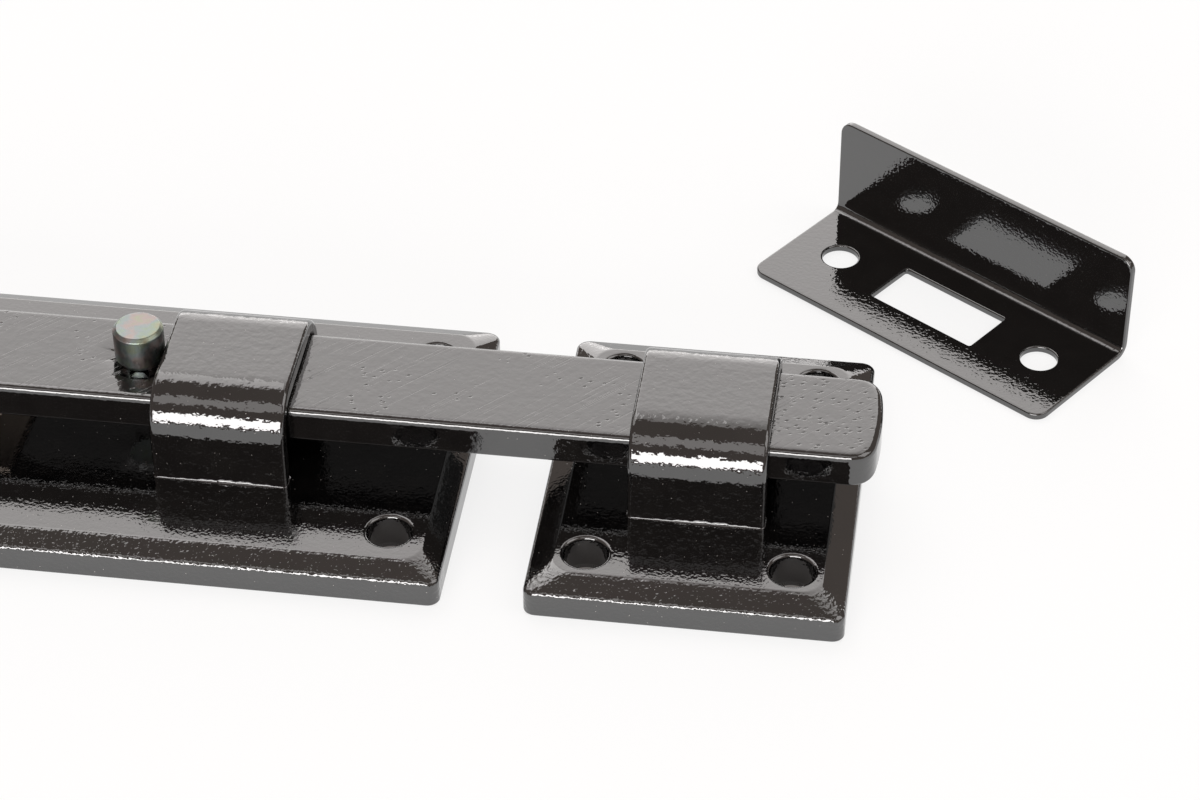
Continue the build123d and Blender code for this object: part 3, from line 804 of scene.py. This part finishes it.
# %% Angle plate
ANGLE_LENGTH, ANGLE_DEPTH, ANGLE_HEIGHT = 49.5, 20.0, 16.0
SHEET, SHEET_BEND, SHEET_EDGE, SHEET_CORNER = 1.0, 1.0, 0.3, 2.0
EDGE_RUN, SHEET_MARGIN, SHEET_STEP, CUT_MARGIN = 0.45, 1.2, 0.8, 1.0
ANGLE_SLOT = np.array([8.5, 4.0])
ANGLE_HOLE, ANGLE_HOLE_X, ANGLE_HOLE_Y = 2.5, 17.15, 10.3
ANGLE_PLACE, ANGLE_TURN = (128.1, 33.8), np.radians(-34.2)
flat_leg = ANGLE_DEPTH - SHEET - SHEET_BEND
bend_run = np.pi / 2 * (SHEET_BEND + SHEET / 2)
upright_leg = ANGLE_HEIGHT - SHEET - SHEET_BEND


def folded(points):
    """The flat sheet (across, along, through) bent up by a quarter circle between its two legs,
    then turned and carried to where it lies."""
    across, along, through = points.T
    turn = np.clip((along - flat_leg) / bend_run, 0, 1) * np.pi / 2
    radius = SHEET_BEND + SHEET - through
    beyond = np.maximum(along - flat_leg - bend_run, 0)
    y = np.minimum(along, flat_leg) + radius * np.sin(turn)
    z = SHEET_BEND + SHEET - radius * np.cos(turn) + beyond
    x_turned = across * np.cos(ANGLE_TURN) - y * np.sin(ANGLE_TURN) + ANGLE_PLACE[0]
    y_turned = across * np.sin(ANGLE_TURN) + y * np.cos(ANGLE_TURN) + ANGLE_PLACE[1]
    return np.stack([x_turned, y_turned, z], 1)


def angle_sheet():
    """The flat sheet: two faces with holes, and a rounded edge carried round every loop."""
    run = flat_leg + bend_run + upright_leg
    rim, rim_out = rounded_rectangle(ANGLE_LENGTH / 2, run / 2, SHEET_CORNER, 10, 50, 90)
    slot, slot_out = rounded_rectangle(*ANGLE_SLOT, SHEET_EDGE, 5, 16, 8)
    hole = circle(ANGLE_HOLE, (0, 0), 48)
    hole_places = [(side * ANGLE_HOLE_X, ANGLE_HOLE_Y) for side in (-1, 1)]
    loops = [(rim + (0, run / 2), -rim_out), (slot + (0, ANGLE_HOLE_Y), slot_out)]
    loops += [(hole + place, hole / ANGLE_HOLE) for place in hole_places]
    edge = softened([(EDGE_RUN, 0), (0, 0), (0, SHEET), (EDGE_RUN, SHEET)], (SHEET_EDGE, SHEET_EDGE), 6)
    rings = [np.stack([at_height(loop + away * inset, through) for inset, through in edge])
             for loop, away in loops]
    inside = lattice(ANGLE_LENGTH / 2 - SHEET_MARGIN, run / 2 - SHEET_MARGIN, SHEET_STEP, (0, run / 2))
    inside = inside[(np.abs(inside - (0, ANGLE_HOLE_Y)) > ANGLE_SLOT + CUT_MARGIN).any(1)]
    inside = clear_of(inside, hole_places, ANGLE_HOLE + CUT_MARGIN)
    patches = [skin(rings[0])] + [skin(ring[::-1]) for ring in rings[1:]]
    for row, height, up in ((-1, SHEET, True), (0, 0, False)):
        outer, *holes = [ring[row][:, :2] for ring in rings]
        patches.append(fill(outer, holes, inside, height, up))
    return [(folded(points), faces) for points, faces in patches]


make_piece("angle_plate_coated", angle_sheet(), sheet_coat, "plates", "black_coat", "angle_plate")

# %% [markdown]
# The leaf spring under the bar is bright strip steel. Its solid already has the right shape,
# so it stays and only gets a finish.

# %% Leaf spring
DARK_STEEL, PALE_STEEL = (0.30, 0.25, 0.21, 1), (0.44, 0.38, 0.33, 1)


def strip_steel():
    """Bright rolled steel: a warm grey metal with fine lines along the strip."""
    material, shader, place = start_finish("strip_steel")
    stretched = place.node("ShaderNodeMapping", inputs={"Vector": place, "Scale": (60, 4000, 900)})
    lines = stretched.noise(1.0, 3.0)
    set_shader(shader, Base_Color=lines.blend(DARK_STEEL, PALE_STEEL), Metallic=1.0,
               Roughness=lines * 0.2 + 0.34, Normal=place.bump(lines * 0.003))
    return material


bright_steel = strip_steel()
for node in ("leaf_spring", "spring_rivet"):
    frame["nodes"][node].data.materials.clear()
    frame["nodes"][node].data.materials.append(bright_steel)
print("bright steel on the spring and its rivet")

# %% The end
bpy.context.view_layer.update()
